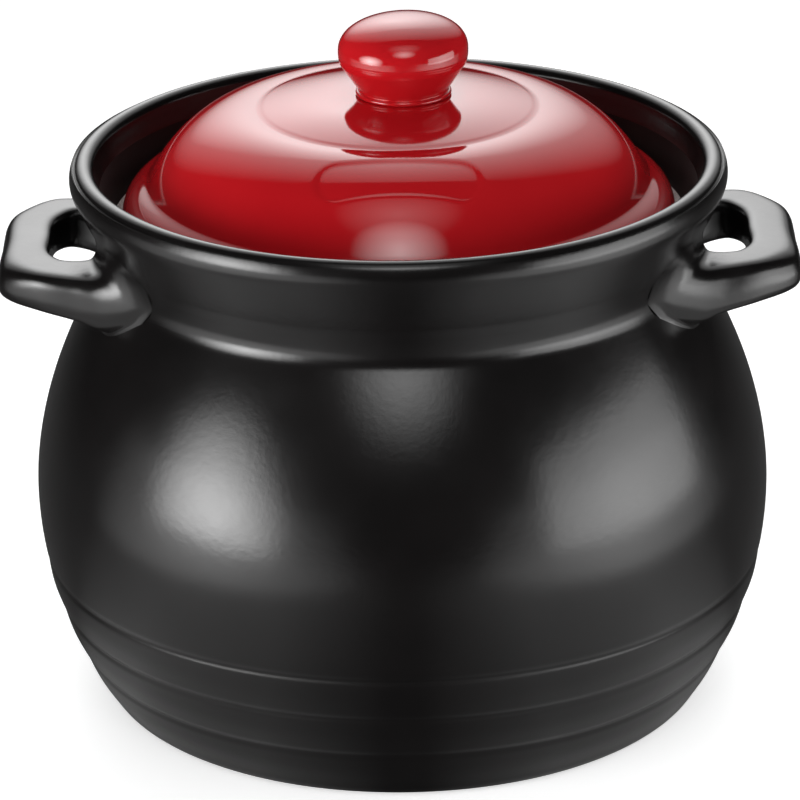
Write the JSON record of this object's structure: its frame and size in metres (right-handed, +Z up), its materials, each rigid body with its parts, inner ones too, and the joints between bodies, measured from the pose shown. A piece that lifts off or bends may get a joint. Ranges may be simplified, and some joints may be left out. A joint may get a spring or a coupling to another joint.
{
  "type": "chinese sand pot",
  "caption": "Round-bellied black glazed ceramic stew pot with a flared rim, loop handles and a sunk red domed lid with a mushroom knob that lifts straight off.",
  "frame": {"origin": "centre of the flat base, on the surface the pot stands on", "axes": "+Z up through the middle of the lid, +X through the handles, the pictured front faces -Y"},
  "size_m": [0.2722, 0.253, 0.2405],
  "materials": {
    "black_glaze": "satin black glaze",
    "red_glaze": "glossy red glaze",
    "bare_clay": "unglazed fired clay under the base and on the lid's seat"
  },
  "bodies": {
    "pot": {"pot_belly": "black_glaze", "pot_shoulder": "black_glaze", "pot_neck": "black_glaze", "handle_left": "black_glaze", "handle_right": "black_glaze"},
    "lid": {"lid_dome": "red_glaze", "lid_knob": "red_glaze"}
  },
  "joints": [
    {"name": "lid_lift", "type": "slide", "parent": "pot", "child": "lid", "axis": [0, 0, 1], "range_m": [0, 0.08]}
  ]
}
